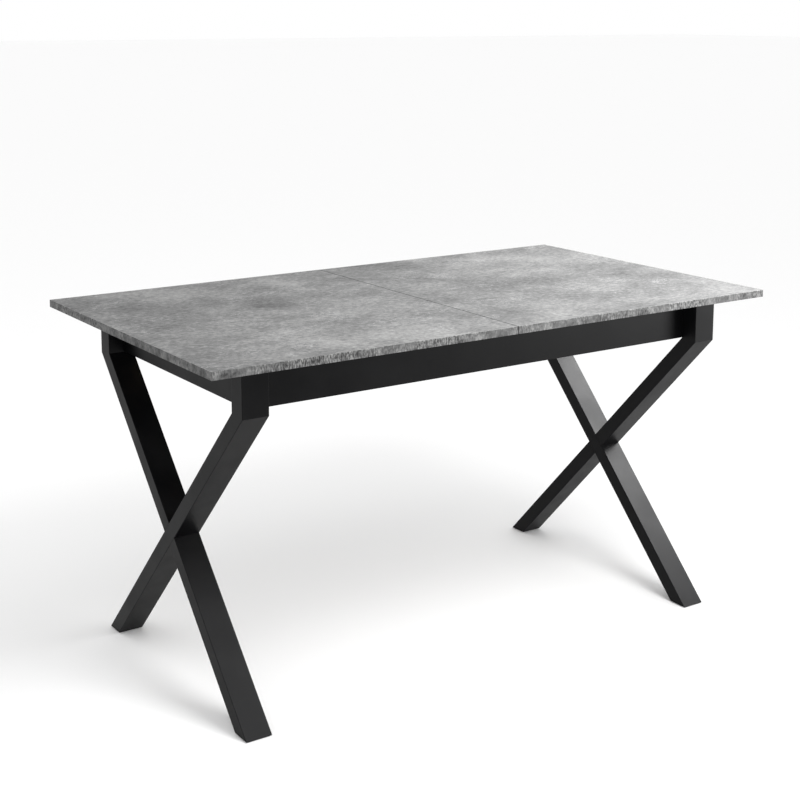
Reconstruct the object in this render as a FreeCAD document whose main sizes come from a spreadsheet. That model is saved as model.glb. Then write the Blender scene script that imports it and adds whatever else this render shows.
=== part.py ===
"""Extendable dining table: two concrete-look top halves that slide apart on a black X-legged frame.

Millimetres. The origin is on the floor under the centre of the closed table, +X runs along its
length, +Y towards its back and +Z up. Every size below is a cell of the sheet "Dim".
"""
import FreeCAD
import Part
import Sketcher
import os
import re

DRIVING = {
    "table_length": 1400,
    "table_width": 782,
    "table_height": 756,
    "board_thickness": 16,
    "edge_band": 1,
    "seam_x": -12,
    "seam_gap": 1.1,
    "travel": 200,
    "end_overhang": 91.5,
    "side_overhang": 62,
    "leg_width": 57,
    "stub_depth": 42,
    "bar_thickness": 33.5,
    "foot_inset": 2,
    "foot_glide_height": 2,
    "foot_glide_inset": 4,
    "apron_height": 94.5,
    "apron_thickness": 22,
    "apron_recess": 35.5,
    "frame_gap": 2,
    "glide_clearance": 0.3,
    "glide_strip_width": 14,
    "edge_rounding": 1,
    "band_rounding": 0.5,
    "block_leg": 70,
    "block_wall": 18,
    "block_height": 34,
    "low_margin": 2.5,
    "leg_dowel_radius": 5,
    "leg_dowel_length": 40,
    "leg_dowel_spacing": 50,
    "dowel_fit": 0.05,
    "bearer_position": 300,
    "bearer_width": 45,
    "bearer_height": 22,
    "angle_leg": 28,
    "angle_wall": 2.5,
    "angle_screw_bite": 15,
    "pad_height": 3,
    "pad_side": 30,
    "slide_height": 45,
    "slide_depth": 12.7,
    "slide_wall": 1.5,
    "slide_drop": 5.5,
    "bar_proud": 0.5,
    "bar_lip_gap": 2,
    "closed_gap": 40,
    "end_room": 50,
    "buffer_length": 10,
    "buffer_height": 20,
    "stop_clearance": 0.3,
    "ball_radius": 2,
    "ball_clearance": 0.3,
    "ball_pitch": 20,
    "ball_shift": 0.5,
    "cage_wall": 0.8,
    "cage_web_gap": 0.6,
    "cage_lip_gap": 1,
    "bracket_width": 40,
    "bracket_wall": 2.5,
    "bracket_reach": 30,
    "bracket_hang": 34,
    "bracket_inset": 35,
    "batten_width": 40,
    "batten_height": 18,
    "batten_clearance": 8,
    "batten_end_gap": 5,
    "seam_dowel_radius": 4,
    "seam_dowel_reach": 12,
    "seam_dowel_root": 20,
    "seam_dowel_pitch": 260,
    "seam_dowel_clearance": 0.25,
    "seam_dowel_spare": 1,
    "leaf_clearance": 1,
    "latch_y": 150,
    "latch_setback": 18,
    "latch_throw": 32,
    "latch_plate": 2.5,
    "latch_plate_side": 30,
    "latch_plate_length": 48,
    "latch_screw_spread": 19.5,
    "catch_plate_side": 20,
    "catch_plate_length": 36,
    "catch_screw_spread": 12,
    "lever_thickness": 3,
    "lever_width": 16,
    "lever_tail": 32,
    "lever_nose": 5,
    "lever_clearance": 0.3,
    "rivet_radius": 3,
    "rivet_head_radius": 5,
    "rivet_head_height": 1.5,
    "rivet_fit": 0.08,
    "slot_clearance": 1.2,
    "screw_radius": 2,
    "screw_head_radius": 4,
    "screw_head_height": 2.5,
}

DERIVED = {
    "underside": "table_height - board_thickness",
    "frame_top": "underside - frame_gap",
    "apron_bottom": "frame_top - apron_height",
    "low_level": "apron_bottom + low_margin",
    "leg_outer": "table_length / 2 - end_overhang",
    "leg_inner": "leg_outer - leg_width",
    "stub_outer": "table_width / 2 - side_overhang",
    "stub_inner": "stub_outer - stub_depth",
    "foot_reach": "stub_outer - foot_inset",
    "end_apron_outer": "leg_outer - apron_recess",
    "end_apron_inner": "end_apron_outer - apron_thickness",
    "side_apron_inner": "stub_inner - apron_thickness",
    "bar_slope": "(foot_reach + stub_inner) / apron_bottom",
    "bar_angle": "atan(bar_slope)",
    "foot_cut": "bar_thickness / cos(bar_angle)",
    "bend_height": "(foot_reach - foot_cut + stub_outer) / bar_slope",
    "slide_middle": "underside - slide_drop - slide_height / 2",
    "bar_half": "slide_height / 2 - slide_wall - 2 * ball_radius - 2 * ball_clearance",
    "bar_face": "slide_depth + bar_proud",
    "channel_near": "closed_gap - stop_clearance - buffer_length",
    "channel_far": "end_apron_inner - end_room",
    "bar_length": "channel_far - buffer_length - stop_clearance - travel - closed_gap",
    "cage_length": "bar_length - travel / 2 - ball_pitch / 2",
    "cage_middle": "closed_gap + bar_length / 2 + travel / 4",
    "ball_level": "bar_half + ball_clearance + ball_radius",
    "bearer_top": "low_level + bearer_height",
    "leaf_bottom": "bearer_top + pad_height",
    "leaf_width": "2 * travel - leaf_clearance",
    "latch_x": "seam_x - latch_setback",
    "catch_x": "latch_x + latch_throw",
    "batten_offset": "latch_setback + lever_tail + batten_clearance + batten_width / 2",
    "lever_top": "underside - latch_plate - lever_clearance",
    "lever_bottom": "lever_top - lever_thickness",
    "board_bite": "board_thickness / 2",
    "buffer_reach": "slide_depth - slide_wall",
    "near_buffer": "closed_gap - stop_clearance - buffer_length / 2",
    "far_buffer": "channel_far - buffer_length / 2",
}

DOC = FreeCAD.newDocument("dining_table")
SHEET = DOC.addObject("Spreadsheet::Sheet", "Dim")
ALIASES = set(DRIVING) | set(DERIVED)
NODES = []
SIDES = {"left": -1, "right": 1}
FACES = {"front": -1, "back": 1}
NEARLY = 0.01


def fill_sheet():
    """Writes the driving sizes and the formulas that follow from them."""
    cells = [(name, str(value)) for name, value in DRIVING.items()]
    cells += [(name, "=" + formula) for name, formula in DERIVED.items()]
    for row, (name, content) in enumerate(cells, start=1):
        SHEET.set(f"A{row}", name)
        SHEET.set(f"B{row}", content)
        SHEET.setAlias(f"B{row}", name)
        SHEET.recompute()
    DOC.recompute()


def value(formula):
    """The number that a formula of sheet names comes to."""
    return float(SHEET.evalExpression(formula))


def bind(item, prop, formula):
    """Binds a property to a formula of sheet names."""
    text = re.sub(r"[a-z_]+", lambda word: f"Dim.{word[0]}" if word[0] in ALIASES else word[0], formula)
    item.setExpression(prop, text)


def place(item, at):
    """Binds the three coordinates of an object's placement."""
    for axis, formula in zip("xyz", at):
        bind(item, f"Placement.Base.{axis}", formula)


def node(item, label):
    """Names an object as a finished sub-part."""
    item.Label = label
    NODES.append(item)
    return item


def middle(centre, size):
    """Formulas for the low corner of a box that is given by its centre and size."""
    return [f"({c}) - ({s}) / 2" for c, s in zip(centre, size)]


def box(label, centre, size):
    """A plain rectangular block."""
    item = DOC.addObject("Part::Box", label)
    for prop, formula in zip(("Length", "Width", "Height"), size):
        bind(item, prop, formula)
    place(item, middle(centre, size))
    return item


TURNS = {
    "+X": FreeCAD.Rotation(FreeCAD.Vector(0, 1, 0), 90),
    "-X": FreeCAD.Rotation(FreeCAD.Vector(0, 1, 0), -90),
    "+Y": FreeCAD.Rotation(FreeCAD.Vector(1, 0, 0), -90),
    "-Y": FreeCAD.Rotation(FreeCAD.Vector(1, 0, 0), 90),
    "+Z": FreeCAD.Rotation(),
    "-Z": FreeCAD.Rotation(FreeCAD.Vector(1, 0, 0), 180),
}


def cylinder(label, start, axis, radius, length):
    """A round bar that starts at a point and runs along an axis."""
    item = DOC.addObject("Part::Cylinder", label)
    item.Placement = FreeCAD.Placement(FreeCAD.Vector(), TURNS[axis])
    bind(item, "Radius", radius)
    bind(item, "Height", length)
    place(item, start)
    return item


def compound(label, items):
    """Several separate solids kept as one sub-part."""
    group = DOC.addObject("Part::Compound", label)
    group.Links = items
    return node(group, label)


def along(start, axis, distance):
    """Formulas for a point moved a signed distance along one axis."""
    moved = list(start)
    index = "XYZ".index(axis[1])
    moved[index] = f"({moved[index]}) {axis[0]} ({distance})"
    return moved


def screw(label, seat, axis, bite, sunk=False):
    """A screw whose head sits on a point and whose shank runs along an axis for its bite.

    A sunk screw has a tapered head inside the surface, and a pan head stands on it.
    """
    if sunk:
        head = DOC.addObject("Part::Cone", label + "_head")
        head.Placement = FreeCAD.Placement(FreeCAD.Vector(), TURNS[axis])
        bind(head, "Radius1", "screw_head_radius")
        bind(head, "Radius2", "screw_radius")
        bind(head, "Height", "screw_head_height")
        place(head, seat)
    else:
        base = along(seat, axis, "0 - screw_head_height")
        head = cylinder(label + "_head", base, axis, "screw_head_radius", "screw_head_height")
    shank = cylinder(label + "_shank", seat, axis, "screw_radius", bite)
    whole = DOC.addObject("Part::Fuse", label)
    whole.Base = head
    whole.Tool = shank
    return whole


def screws(label, places):
    """One sub-part that holds every screw in a list of (seat, axis, bite, sunk)."""
    return compound(label, [screw(f"{label}_{i}", *where) for i, where in enumerate(places, start=1)])


def body_plane(body, role):
    """One of a body's own origin planes."""
    return next(f for f in body.Origin.OriginFeatures if f.Role == role)


def new_sketch(body, role, name):
    """An empty sketch on one of the body's origin planes."""
    sketch = body.newObject("Sketcher::SketchObject", name)
    sketch.AttachmentSupport = (body_plane(body, role), "")
    sketch.MapMode = "FlatFace"
    return sketch


def outline(sketch, corners):
    """A closed outline of straight edges. Each corner is a pair of formulas, bound as dimensions."""
    first = sketch.GeometryCount
    count = len(corners)
    rough = [(value(a), value(b)) for a, b in corners]
    for i in range(count):
        start = FreeCAD.Vector(*rough[i], 0)
        end = FreeCAD.Vector(*rough[(i + 1) % count], 0)
        sketch.addGeometry(Part.LineSegment(start, end), False)
    for i in range(count):
        following = first + (i + 1) % count
        sketch.addConstraint(Sketcher.Constraint("Coincident", first + i, 2, following, 1))
    for i, corner in enumerate(corners):
        for kind, formula, near in zip(("DistanceX", "DistanceY"), corner, rough[i]):
            index = sketch.addConstraint(Sketcher.Constraint(kind, -1, 1, first + i, 1, near))
            bind(sketch, f"Constraints[{index}]", formula)


def padded(label, role, corners, depth, at, reverse=False):
    """A body made by pushing a closed outline through a depth, along or against its plane's normal."""
    body = DOC.addObject("PartDesign::Body", label)
    sketch = new_sketch(body, role, label + "_outline")
    outline(sketch, corners)
    pad = body.newObject("PartDesign::Pad", label + "_pad")
    pad.Profile = sketch
    pad.Reversed = reverse
    bind(pad, "Length", depth)
    place(body, at)
    DOC.recompute()
    return body


def rounded(body, radius, keep=None):
    """Rounds a body's edges: all of them, or those that a test on the edge keeps."""
    base = body.Tip
    names = [f"Edge{i}" for i, edge in enumerate(base.Shape.Edges, start=1) if keep is None or keep(edge)]
    fillet = body.newObject("PartDesign::Fillet", body.Name + "_rounding")
    fillet.Base = (base, names)
    bind(fillet, "Radius", radius)
    body.Tip = fillet
    DOC.recompute()
    return body


def pocketed(body, role, draw, depth, reverse=False, offset="0"):
    """Cuts what draw puts on a sketch into the body, and makes sure that something was cut."""
    before = body.Shape.Volume
    sketch = new_sketch(body, role, body.Name + "_cut")
    draw(sketch)
    bind(sketch, "AttachmentOffset.Base.z", offset)
    pocket = body.newObject("PartDesign::Pocket", body.Name + "_pocket")
    pocket.Profile = sketch
    pocket.Reversed = reverse
    bind(pocket, "Length", depth)
    body.Tip = pocket
    DOC.recompute()
    if body.Shape.Volume > before - 1:
        raise RuntimeError(f"the cut in {body.Label} removed nothing")
    return body


def rectangle(x_low, x_high, y_low, y_high):
    """Corners of a rectangle, as formulas."""
    return [(x_low, y_low), (x_high, y_low), (x_high, y_high), (x_low, y_high)]


def round_holes(sketch, radius, centres):
    """Circles on a sketch, bound to their radius and centres."""
    for centre in centres:
        spot = FreeCAD.Vector(value(centre[0]), value(centre[1]), 0)
        circle = sketch.addGeometry(Part.Circle(spot, FreeCAD.Vector(0, 0, 1), value(radius)), False)
        index = sketch.addConstraint(Sketcher.Constraint("Radius", circle, value(radius)))
        bind(sketch, f"Constraints[{index}]", radius)
        for kind, formula in zip(("DistanceX", "DistanceY"), centre):
            index = sketch.addConstraint(Sketcher.Constraint(kind, -1, 1, circle, 3, value(formula)))
            bind(sketch, f"Constraints[{index}]", formula)


def drilled(label, blank, holes):
    """A blank with round holes cut by cylinders."""
    tool = DOC.addObject("Part::Compound", label + "_drills")
    tool.Links = holes
    cut = DOC.addObject("Part::Cut", label)
    cut.Base = blank
    cut.Tool = tool
    return node(cut, label)


def leg_dowels(side, face, radius, name):
    """The two dowels, or their holes, that join one leg's stub to the end apron."""
    x = f"{side} * (end_apron_outer - apron_thickness / 2)"
    start = f"{face} * stub_inner - leg_dowel_length / 2"
    levels = [f"(apron_bottom + frame_top) / 2 + {k} * leg_dowel_spacing / 2" for k in (-1, 1)]
    return [cylinder(f"{name}_{i}", (x, start, z), "+Y", radius, "leg_dowel_length")
            for i, z in enumerate(levels, start=1)]


def make_legs():
    """Four legs. Each is a stub and a slanted bar, half lapped where it crosses its pair's bar."""
    for end, side in SIDES.items():
        for front, face in FACES.items():
            label = f"{end}_{front}_leg"
            low = f"{face} * (foot_cut - foot_reach)"
            glide = f"{face} * foot_glide_height * bar_slope"
            corners = [
                (f"{face} * stub_outer", "frame_top"),
                (f"{face} * stub_outer", "bend_height"),
                (f"{low} + {glide}", "foot_glide_height"),
                (f"{face} * (0 - foot_reach) + {glide}", "foot_glide_height"),
                (f"{face} * stub_inner", "apron_bottom"),
                (f"{face} * stub_inner", "frame_top"),
            ]
            start = "leg_inner" if side > 0 else "0 - leg_outer"
            body = padded(label + "_blank", "YZ_Plane", corners, "leg_width", (start, "0", "0"))
            rounded(body, "edge_rounding", lambda edge: edge.BoundBox.ZLength + edge.BoundBox.YLength > 1)
            crossing = [
                (f"0 - {face} * stub_outer", "bend_height"),
                (f"{face} * (foot_reach - foot_cut)", "0"),
                (f"{face} * foot_reach", "0"),
                (f"0 - {face} * stub_inner", "apron_bottom"),
            ]
            lap_start = "leg_width / 2" if side == face else "0"
            pocketed(body, "YZ_Plane", lambda sketch: outline(sketch, crossing), "leg_width / 2", True,
                     lap_start)
            drilled(label, body, leg_dowels(side, face, "leg_dowel_radius + dowel_fit", label + "_hole"))


def make_aprons():
    """Long aprons behind the legs' inner faces and end aprons doweled between the stubs."""
    for front, face in FACES.items():
        corners = rectangle("0 - end_apron_inner", "end_apron_inner", "apron_bottom", "frame_top")
        start = "0 - side_apron_inner" if face < 0 else "stub_inner"
        body = padded(f"{front}_apron", "XZ_Plane", corners, "apron_thickness", ("0", start, "0"))
        node(rounded(body, "edge_rounding", lambda edge: edge.BoundBox.XLength > 1), f"{front}_apron")
    for end, side in SIDES.items():
        corners = rectangle("0 - stub_inner", "stub_inner", "apron_bottom", "frame_top")
        start = "end_apron_inner" if side > 0 else "0 - end_apron_outer"
        body = padded(f"{end}_apron_blank", "YZ_Plane", corners, "apron_thickness", (start, "0", "0"))
        rounded(body, "edge_rounding", lambda edge: edge.BoundBox.YLength > 1)
        holes = [hole for face in FACES.values() for hole in
                 leg_dowels(side, face, "leg_dowel_radius + dowel_fit", f"{end}_apron_hole")]
        drilled(f"{end}_apron", body, holes)
    pins = [pin for side in SIDES.values() for face in FACES.values() for pin in
            leg_dowels(side, face, "leg_dowel_radius", "leg_dowel")]
    compound("leg_dowels", pins)


def make_corner_blocks():
    """A block glued and screwed into each corner of the frame."""
    places = []
    for end, side in SIDES.items():
        for front, face in FACES.items():
            label = f"{end}_{front}_corner_block"
            shape = [("0", "0"), ("block_leg", "0"), ("block_leg", "block_wall"),
                     ("block_leg - block_wall", "block_wall"), ("block_wall", "block_leg - block_wall"),
                     ("block_wall", "block_leg"), ("0", "block_leg")]
            corners = [(f"0 - {side} * ({x})", f"0 - {face} * ({y})") for x, y in shape]
            at = (f"{side} * end_apron_inner", f"{face} * side_apron_inner", "low_level")
            node(padded(label, "XY_Plane", corners, "block_height", at), label)
            level = "low_level + block_height / 2"
            inset = "block_leg - block_wall / 2"
            bite = "block_wall + apron_thickness / 2"
            long_seat = (f"{side} * (end_apron_inner - {inset})",
                         f"{face} * (side_apron_inner - block_wall)", level)
            end_seat = (f"{side} * (end_apron_inner - block_wall)",
                        f"{face} * (side_apron_inner - {inset})", level)
            places.append((long_seat, "-Y" if face < 0 else "+Y", bite))
            places.append((end_seat, "-X" if side < 0 else "+X", bite))
    screws("corner_block_screws", places)


def make_foot_glides():
    """A thin glide under each foot."""
    glides = []
    for side in SIDES.values():
        for face in FACES.values():
            centre = (f"{side} * (leg_outer - leg_width / 2)", f"{face} * (foot_reach - foot_cut / 2)",
                      "foot_glide_height / 2")
            size = ("leg_width - 2 * foot_glide_inset", "foot_cut - 2 * foot_glide_inset", "foot_glide_height")
            glides.append(box("foot_glide", centre, size))
    compound("foot_glides", glides)


def make_glide_strips():
    """Low-friction strips on the long aprons, which carry the sliding halves."""
    strips = []
    for front, face in FACES.items():
        centre = ("0", f"{face} * (side_apron_inner + apron_thickness / 2)",
                  "frame_top + (frame_gap - glide_clearance) / 2")
        size = ("2 * end_apron_inner", "glide_strip_width", "frame_gap - glide_clearance")
        strips.append(box(f"{front}_glide_strip", centre, size))
    compound("apron_glide_strips", strips)


def make_bearers():
    """Two cross bearers under the stored leaf, with steel angles, screws and felt pads."""
    angles = []
    places = []
    pads = []
    for end, side in SIDES.items():
        middle_x = f"{side} * bearer_position"
        corners = rectangle("0 - bearer_width / 2", "bearer_width / 2", "0 - side_apron_inner",
                            "side_apron_inner")
        label = f"{end}_leaf_bearer"
        body = padded(label, "XY_Plane", corners, "bearer_height", (middle_x, "0", "low_level"))
        node(rounded(body, "edge_rounding", lambda edge: edge.BoundBox.YLength > 1), label)
        for front, face in FACES.items():
            shape = [("0", "0"), ("angle_leg", "0"), ("angle_leg", "angle_wall"),
                     ("angle_wall", "angle_wall"), ("angle_wall", "angle_leg"), ("0", "angle_leg")]
            corners = [(f"0 - {side} * ({x})", f"0 - {face} * ({y})") for x, y in shape]
            face_x = f"{side} * (bearer_position - bearer_width / 2)"
            at = (face_x, f"{face} * side_apron_inner", "low_level + edge_rounding")
            depth = "bearer_height - 2 * edge_rounding"
            angles.append(padded(f"{end}_{front}_angle", "XY_Plane", corners, depth, at))
            level = "low_level + bearer_height / 2"
            reach = "(angle_leg + angle_wall) / 2"
            apron_seat = (f"{face_x} - {side} * {reach}",
                          f"{face} * (side_apron_inner - angle_wall)", level)
            bearer_seat = (f"{face_x} - {side} * angle_wall",
                           f"{face} * (side_apron_inner - {reach})", level)
            places.append((apron_seat, "-Y" if face < 0 else "+Y", "apron_thickness / 2 + angle_wall"))
            places.append((bearer_seat, "-X" if side < 0 else "+X", "angle_screw_bite"))
            pad_centre = (middle_x, f"{face} * leaf_width / 4", "bearer_top + pad_height / 2")
            pads.append(box("leaf_pad", pad_centre, ("pad_side", "pad_side", "pad_height")))
    compound("bearer_angles", angles)
    screws("bearer_screws", places)
    compound("leaf_rest_pads", pads)


def make_slides():
    """Four ball-bearing slides: a channel on the apron, a bar under the top and a ball cage between."""
    buffers = []
    channel_places = []
    for end, side in SIDES.items():
        brackets = []
        bracket_places = []
        for front, face in FACES.items():
            name = f"{end}_{front}"
            make_channel(name, side, face)
            make_slide_bar(name, side, face)
            make_ball_cage(name, side, face)
            wall_y = f"{face} * (side_apron_inner - slide_wall)"
            for stop, inward in (("near_buffer", 1), ("far_buffer", -1)):
                centre = (f"{side} * {stop}", f"{wall_y} - {face} * buffer_reach / 2", "slide_middle")
                size = ("buffer_length", "buffer_reach", "buffer_height")
                buffers.append(box(name + "_buffer", centre, size))
                seat_x = f"{side} * ({stop} + {inward} * 2 * buffer_length)"
                channel_places.append(((seat_x, wall_y, "slide_middle"), "-Y" if face < 0 else "+Y",
                                       "slide_wall + apron_thickness / 2", True))
            for spot in ("closed_gap + bracket_inset", "closed_gap + bar_length - bracket_inset"):
                brackets.append(make_bracket(f"{name}_bracket", f"{side} * ({spot})", face))
                for step in (-1, 1):
                    seat = (f"{side} * ({spot}) + {step} * bracket_width / 4",
                            f"{face} * (side_apron_inner - bar_face - bracket_wall - bracket_reach / 2)",
                            "underside - bracket_wall")
                    bracket_places.append((seat, "+Z", "bracket_wall + board_bite"))
        compound(f"{end}_slide_brackets", brackets)
        screws(f"{end}_bracket_screws", bracket_places)
    compound("slide_buffers", buffers)
    screws("channel_screws", channel_places)


def channel_profile(face, near, far, half, wall):
    """A C section: its web at the near depth, its lips reaching to the far depth."""
    step = f"({wall})" if value(far) > value(near) else f"(0 - ({wall}))"
    shape = [(near, f"0 - ({half})"), (far, f"0 - ({half})"), (far, f"{wall} - ({half})"),
             (f"({near}) + {step}", f"{wall} - ({half})"), (f"({near}) + {step}", f"({half}) - {wall}"),
             (far, f"({half}) - {wall}"), (far, half), (near, half)]
    return [(f"0 - {face} * ({depth})", level) for depth, level in shape]


def make_channel(name, side, face):
    """The outer channel, screwed to the apron's inner face."""
    corners = channel_profile(face, "0", "slide_depth", "slide_height / 2", "slide_wall")
    start = "channel_near" if side > 0 else "0 - channel_far"
    at = (start, f"{face} * side_apron_inner", "slide_middle")
    label = f"{name}_slide_channel"
    node(padded(label, "YZ_Plane", corners, "channel_far - channel_near", at), label)


def make_slide_bar(name, side, face):
    """The moving bar, open towards the apron."""
    corners = channel_profile(face, "bar_face", "slide_wall + cage_wall + bar_lip_gap", "bar_half",
                              "slide_wall")
    start = "closed_gap" if side > 0 else "0 - closed_gap - bar_length"
    at = (start, f"{face} * side_apron_inner", "slide_middle")
    label = f"{name}_slide_bar"
    node(padded(label, "YZ_Plane", corners, "bar_length", at), label)


def make_ball_cage(name, side, face):
    """A thin cage with balls above and below the bar."""
    label = f"{name}_ball_cage"
    half = "ball_level + cage_wall / 2"
    corners = channel_profile(face, "slide_wall + cage_web_gap", "slide_depth - cage_lip_gap", half,
                              "cage_wall")
    start = f"{side} * cage_middle - cage_length / 2"
    at = (start, f"{face} * side_apron_inner", "slide_middle")
    cage = padded(label + "_strip", "YZ_Plane", corners, "cage_length", at)
    count = int(value("cage_length / ball_pitch"))
    depth = "(slide_wall + slide_depth) / 2 + ball_shift"
    balls = []
    holes = []
    for i in range(count):
        x = f"{side} * cage_middle + ({i} - {count - 1} / 2) * ball_pitch"
        y = f"{face} * (side_apron_inner - ({depth}))"
        for level in (-1, 1):
            ball = DOC.addObject("Part::Sphere", f"{label}_ball")
            bind(ball, "Radius", "ball_radius")
            place(ball, (x, y, f"slide_middle + {level} * ball_level"))
            balls.append(ball)
            low = f"slide_middle + {level} * ball_level - cage_wall"
            holes.append(cylinder(f"{label}_hole", (x, y, low), "+Z", "ball_radius + dowel_fit",
                                  "2 * cage_wall"))
    tool = DOC.addObject("Part::Compound", label + "_holes")
    tool.Links = holes
    strip = DOC.addObject("Part::Cut", label + "_cut")
    strip.Base = cage
    strip.Tool = tool
    compound(label, [strip] + balls)


def make_bracket(label, middle_x, face):
    """A steel angle from a slide bar up to the underside of a top half."""
    wall = "bracket_wall"
    top = "bracket_hang"
    reach = "bracket_wall + bracket_reach"
    shape = [("0", "0"), (wall, "0"), (wall, f"{top} - {wall}"), (reach, f"{top} - {wall}"),
             (reach, top), ("0", top)]
    corners = [(f"0 - {face} * ({depth})", level) for depth, level in shape]
    at = (f"{middle_x} - bracket_width / 2", f"{face} * (side_apron_inner - bar_face)",
          "underside - bracket_hang")
    return padded(label, "YZ_Plane", corners, "bracket_width", at)


def outer_edge(reach_x, reach_y):
    """A test for the outer edges of an edge band, away from the seam at X = 0 in the band's own place."""
    def keep(edge):
        span = edge.BoundBox
        at_end = max(abs(span.XMin), abs(span.XMax)) > reach_x - NEARLY
        at_side = max(abs(span.YMin), abs(span.YMax)) > reach_y - NEARLY
        at_seam = span.XLength < NEARLY and abs(span.XMin) < NEARLY
        upright = span.ZLength > NEARLY
        if at_seam:
            return False
        return (at_end and at_side) if upright else (at_end or at_side)
    return keep


def make_top(end, side):
    """One half of the top: laminated board, edge band on three sides, batten and fixings."""
    seam = f"(seam_x + {side} * seam_gap / 2)"
    length = f"({side} * (table_length / 2 - edge_band) - {seam})"
    half = "table_width / 2 - edge_band"
    corners = rectangle("0", length, f"0 - ({half})", half)
    label = f"top_{end}"
    at = (seam, "0", "underside")
    body = padded(label, "XY_Plane", corners, "board_thickness", at)
    radius = "seam_dowel_radius + " + ("dowel_fit" if side < 0 else "seam_dowel_clearance")
    centres = [(f"{k} * seam_dowel_pitch", "board_thickness / 2") for k in (-1, 0, 1)]
    depth = "seam_dowel_root" if side < 0 else "seam_dowel_reach + seam_dowel_spare"
    pocketed(body, "YZ_Plane", lambda sketch: round_holes(sketch, radius, centres), depth, side > 0)
    node(body, label)
    outer = f"({side} * table_length / 2 - {seam})"
    wide = "table_width / 2"
    band_corners = [("0", f"0 - {wide}"), (outer, f"0 - {wide}"), (outer, wide), ("0", wide),
                    ("0", half), (length, half), (length, f"0 - ({half})"), ("0", f"0 - ({half})")]
    band = padded(f"top_{end}_edge_band", "XY_Plane", band_corners, "board_thickness", at)
    rounded(band, "band_rounding", outer_edge(abs(value(outer)), value(wide)))
    node(band, f"top_{end}_edge_band")
    batten_centre = (f"seam_x + {side} * batten_offset", "0", "underside - batten_height / 2")
    label = f"{end}_top_batten"
    length_y = "2 * (side_apron_inner - bar_face - bracket_wall - bracket_reach - batten_end_gap)"
    node(box(label, batten_centre, ("batten_width", length_y, "batten_height")), label)
    places = [((f"seam_x + {side} * batten_offset", f"{k} * seam_dowel_pitch / 2",
                "underside - batten_height"), "+Z", "batten_height + board_bite", True)
              for k in (-1, 0, 1)]
    screws(f"{end}_batten_screws", places)


def make_tops():
    """Both halves of the top and the dowels that line them up."""
    for end, side in SIDES.items():
        make_top(end, side)
    start = "seam_x - seam_gap / 2 - seam_dowel_root"
    dowels = [cylinder(f"alignment_dowel_{k + 2}", (start, f"{k} * seam_dowel_pitch",
                                                    "underside + board_thickness / 2"),
                       "+X", "seam_dowel_radius", "seam_dowel_root + seam_gap + seam_dowel_reach")
              for k in (-1, 0, 1)]
    compound("alignment_dowels", dowels)


def make_leaf():
    """The loose extension leaf, stored across the table under the closed top."""
    end = "table_width / 2 - edge_band"
    corners = rectangle(f"0 - ({end})", end, "0", "leaf_width")
    at = ("0", "0 - leaf_width / 2", "leaf_bottom")
    body = padded("leaf_panel", "XY_Plane", corners, "board_thickness", at)
    centres = [(f"{k} * seam_dowel_pitch", "board_thickness / 2") for k in (-1, 0, 1)]
    pocketed(body, "XZ_Plane", lambda sketch: round_holes(
        sketch, "seam_dowel_radius + seam_dowel_clearance", centres), "seam_dowel_reach + seam_dowel_spare")
    holes = [cylinder(f"leaf_hole_{k + 2}", (f"{k} * seam_dowel_pitch",
                                             "leaf_width / 2 - seam_dowel_root",
                                             "leaf_bottom + board_thickness / 2"),
                      "+Y", "seam_dowel_radius + dowel_fit", "seam_dowel_root + seam_dowel_spare")
             for k in (-1, 0, 1)]
    drilled("leaf", body, holes)
    dowels = [cylinder(f"leaf_dowel_{k + 2}", (f"{k} * seam_dowel_pitch",
                                               "leaf_width / 2 - seam_dowel_root",
                                               "leaf_bottom + board_thickness / 2"),
                       "+Y", "seam_dowel_radius", "seam_dowel_root + seam_dowel_reach")
              for k in (-1, 0, 1)]
    compound("leaf_dowels", dowels)
    bands = [box(f"leaf_band_{side}", (f"{side} * (table_width / 2 - edge_band / 2)", "0",
                                       "leaf_bottom + board_thickness / 2"),
                 ("edge_band", "leaf_width", "board_thickness")) for side in (-1, 1)]
    compound("leaf_edge_bands", bands)


def make_latches():
    """Two turning latches under the seam that hold the halves together."""
    base_places = []
    catch_places = []
    rivets = []
    for front, face in FACES.items():
        pivot_y = f"{face} * latch_y"
        plate = box(f"{front}_latch_plate_blank", ("latch_x", pivot_y, "underside - latch_plate / 2"),
                    ("latch_plate_side", "latch_plate_length", "latch_plate"))
        bore = cylinder(f"{front}_plate_bore", ("latch_x", pivot_y, "underside - 2 * latch_plate"), "+Z",
                        "rivet_radius + dowel_fit", "2 * latch_plate")
        drilled(f"{front}_latch_plate", plate, [bore])
        rivets.append(make_rivet(front, pivot_y))
        make_lever(front, pivot_y)
        catch = box(f"{front}_catch_plate", ("catch_x", pivot_y, "underside - latch_plate / 2"),
                    ("catch_plate_side", "catch_plate_length", "latch_plate"))
        pin = cylinder(f"{front}_catch_pin", ("catch_x", pivot_y, "underside - latch_plate"), "-Z",
                       "rivet_radius", "lever_thickness + 2 * lever_clearance")
        whole = DOC.addObject("Part::Fuse", f"{front}_latch_catch")
        whole.Base = catch
        whole.Tool = pin
        node(whole, f"{front}_latch_catch")
        for step in (-1, 1):
            seat_level = "underside - latch_plate"
            base_seat = ("latch_x", f"{pivot_y} + {step} * latch_screw_spread", seat_level)
            base_places.append((base_seat, "+Z", "latch_plate + board_bite", True))
            catch_seat = ("catch_x", f"{pivot_y} + {step} * catch_screw_spread", seat_level)
            catch_places.append((catch_seat, "+Z", "latch_plate + board_bite", True))
    compound("latch_rivets", rivets)
    screws("latch_screws", base_places)
    screws("catch_screws", catch_places)


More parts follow.
